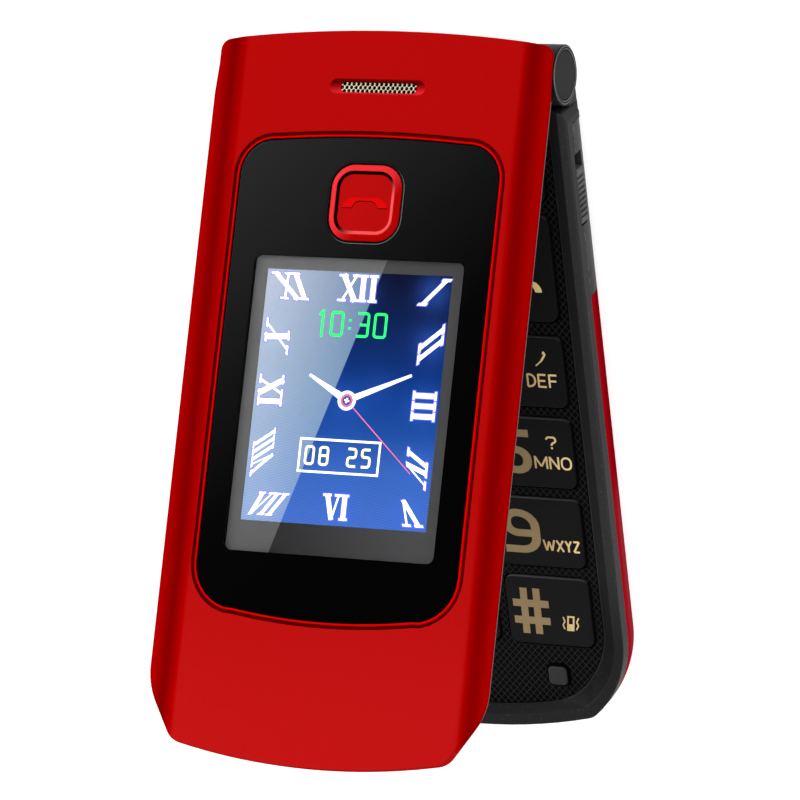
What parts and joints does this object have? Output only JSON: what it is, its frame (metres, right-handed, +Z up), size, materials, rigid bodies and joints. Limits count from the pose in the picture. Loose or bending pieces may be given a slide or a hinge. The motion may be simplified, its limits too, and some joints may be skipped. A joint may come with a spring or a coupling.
{
  "type": "flip phone",
  "caption": "Clamshell mobile phone with a lid on a friction hinge, an outer colour window, a recessed keypad and a rounded back cover.",
  "frame": {"origin": "middle of the flat back, on the surface the phone lies on", "axes": "+Z up out of the keypad, +Y towards the hinge, +X across towards the side with the slide switch"},
  "size_m": [0.0579, 0.1208, 0.0722],
  "materials": {
    "lid_cover": "gloss lacquer over moulded plastic",
    "battery_cover": "satin soft lacquer",
    "front_housing": "fine satin",
    "rear_housing": "fine satin",
    "lid_housing": "fine satin",
    "keypad_panel": "fine cross-hatched gloss",
    "window": "polished",
    "light_guide": "frosted",
    "screen": "dark display panel",
    "answer_button": "gloss rim around a matte face",
    "bright_trim": "satin plated",
    "slide_switch": "fine satin",
    "key": "gloss with printed legends",
    "pad": "soft",
    "mat": "translucent silicone",
    "film": "plain film",
    "board": "solder resist",
    "battery": "printed sleeve",
    "connector": "plain",
    "shield": "pressed sheet",
    "antenna": "plain",
    "module": "plain",
    "hinge_steel": "ground",
    "bush": "turned",
    "flex": "amber film",
    "screw": "zinc plated"
  },
  "bodies": {
    "base": {"antenna": "antenna", "battery": "battery", "battery_contacts": "connector", "battery_cover": "battery_cover", "camera_module": "module", "camera_window": "window", "case_screws": "screw", "dome_sheet": "film", "front_housing": "front_housing", "hinge_bush": "bush", "hinge_caps": "front_housing", "hinge_shaft": "hinge_steel", "keypad_mat": "mat", "keypad_panel": "keypad_panel", "loudspeaker": "module", "main_board": "board", "microphone": "shield", "rear_housing": "rear_housing", "rest_pads": "pad", "sim_holder": "shield", "torch_led": "film", "torch_lens": "light_guide", "usb_socket": "shield", "vibration_motor": "shield"},
    "lid": {"lid_cover": "lid_cover", "lid_housing": "lid_housing", "outer_glass": "window", "outer_display": "screen", "button_ring": "bright_trim", "speaker_mesh": "bright_trim", "inner_glass": "window", "inner_display": "screen", "lid_board": "board", "ringer": "module", "receiver": "module", "lid_magnet": "shield", "lid_screws": "screw", "hinge_module": "hinge_steel", "hinge_spring": "hinge_steel", "hinge_flex": "flex"},
    "call_key_body": {"call_key": "key"},
    "end_key_body": {"end_key": "key"},
    "key_0_body": {"key_0": "key"},
    "key_1_body": {"key_1": "key"},
    "key_2_body": {"key_2": "key"},
    "key_3_body": {"key_3": "key"},
    "key_4_body": {"key_4": "key"},
    "key_5_body": {"key_5": "key"},
    "key_6_body": {"key_6": "key"},
    "key_7_body": {"key_7": "key"},
    "key_8_body": {"key_8": "key"},
    "key_9_body": {"key_9": "key"},
    "key_hash_body": {"key_hash": "key"},
    "key_star_body": {"key_star": "key"},
    "nav_ring_body": {"nav_ring": "key"},
    "select_key_body": {"select_key": "key"},
    "soft_key_left_body": {"soft_key_left": "key"},
    "soft_key_right_body": {"soft_key_right": "key"},
    "slide_switch_body": {"slide_switch": "slide_switch"},
    "answer_button_body": {"answer_button": "answer_button"}
  },
  "joints": [
    {"name": "lid_hinge", "type": "hinge", "parent": "base", "child": "lid", "pos_m": [0, 0.054, 0.0103], "axis": [-1, 0, 0], "range_deg": [-30.4, 129.6]},
    {"name": "call_key_press", "type": "slide", "parent": "base", "child": "call_key_body", "axis": [0, 0, -1], "range_m": [0, 0.0003], "stiffness_N_per_m": 2500, "springref_m": -0.0005},
    {"name": "end_key_press", "type": "slide", "parent": "base", "child": "end_key_body", "axis": [0, 0, -1], "range_m": [0, 0.0003], "stiffness_N_per_m": 2500, "springref_m": -0.0005},
    {"name": "key_0_press", "type": "slide", "parent": "base", "child": "key_0_body", "axis": [0, 0, -1], "range_m": [0, 0.0003], "stiffness_N_per_m": 2500, "springref_m": -0.0005},
    {"name": "key_1_press", "type": "slide", "parent": "base", "child": "key_1_body", "axis": [0, 0, -1], "range_m": [0, 0.0003], "stiffness_N_per_m": 2500, "springref_m": -0.0005},
    {"name": "key_2_press", "type": "slide", "parent": "base", "child": "key_2_body", "axis": [0, 0, -1], "range_m": [0, 0.0003], "stiffness_N_per_m": 2500, "springref_m": -0.0005},
    {"name": "key_3_press", "type": "slide", "parent": "base", "child": "key_3_body", "axis": [0, 0, -1], "range_m": [0, 0.0003], "stiffness_N_per_m": 2500, "springref_m": -0.0005},
    {"name": "key_4_press", "type": "slide", "parent": "base", "child": "key_4_body", "axis": [0, 0, -1], "range_m": [0, 0.0003], "stiffness_N_per_m": 2500, "springref_m": -0.0005},
    {"name": "key_5_press", "type": "slide", "parent": "base", "child": "key_5_body", "axis": [0, 0, -1], "range_m": [0, 0.0003], "stiffness_N_per_m": 2500, "springref_m": -0.0005},
    {"name": "key_6_press", "type": "slide", "parent": "base", "child": "key_6_body", "axis": [0, 0, -1], "range_m": [0, 0.0003], "stiffness_N_per_m": 2500, "springref_m": -0.0005},
    {"name": "key_7_press", "type": "slide", "parent": "base", "child": "key_7_body", "axis": [0, 0, -1], "range_m": [0, 0.0003], "stiffness_N_per_m": 2500, "springref_m": -0.0005},
    {"name": "key_8_press", "type": "slide", "parent": "base", "child": "key_8_body", "axis": [0, 0, -1], "range_m": [0, 0.0003], "stiffness_N_per_m": 2500, "springref_m": -0.0005},
    {"name": "key_9_press", "type": "slide", "parent": "base", "child": "key_9_body", "axis": [0, 0, -1], "range_m": [0, 0.0003], "stiffness_N_per_m": 2500, "springref_m": -0.0005},
    {"name": "key_hash_press", "type": "slide", "parent": "base", "child": "key_hash_body", "axis": [0, 0, -1], "range_m": [0, 0.0003], "stiffness_N_per_m": 2500, "springref_m": -0.0005},
    {"name": "key_star_press", "type": "slide", "parent": "base", "child": "key_star_body", "axis": [0, 0, -1], "range_m": [0, 0.0003], "stiffness_N_per_m": 2500, "springref_m": -0.0005},
    {"name": "nav_ring_press", "type": "slide", "parent": "base", "child": "nav_ring_body", "axis": [0, 0, -1], "range_m": [0, 0.0003], "stiffness_N_per_m": 2500, "springref_m": -0.0005},
    {"name": "select_key_press", "type": "slide", "parent": "base", "child": "select_key_body", "axis": [0, 0, -1], "range_m": [0, 0.0003], "stiffness_N_per_m": 2500, "springref_m": -0.0005},
    {"name": "soft_key_left_press", "type": "slide", "parent": "base", "child": "soft_key_left_body", "axis": [0, 0, -1], "range_m": [0, 0.0003], "stiffness_N_per_m": 2500, "springref_m": -0.0005},
    {"name": "soft_key_right_press", "type": "slide", "parent": "base", "child": "soft_key_right_body", "axis": [0, 0, -1], "range_m": [0, 0.0003], "stiffness_N_per_m": 2500, "springref_m": -0.0005},
    {"name": "answer_button_press", "type": "slide", "parent": "lid", "child": "answer_button_body", "axis": [0, -0.506, -0.8625], "range_m": [0, 0.0004], "stiffness_N_per_m": 2500, "springref_m": -0.0005},
    {"name": "slide_switch_slide", "type": "slide", "parent": "base", "child": "slide_switch_body", "axis": [0, 1, 0], "range_m": [0, 0.002]}
  ]
}
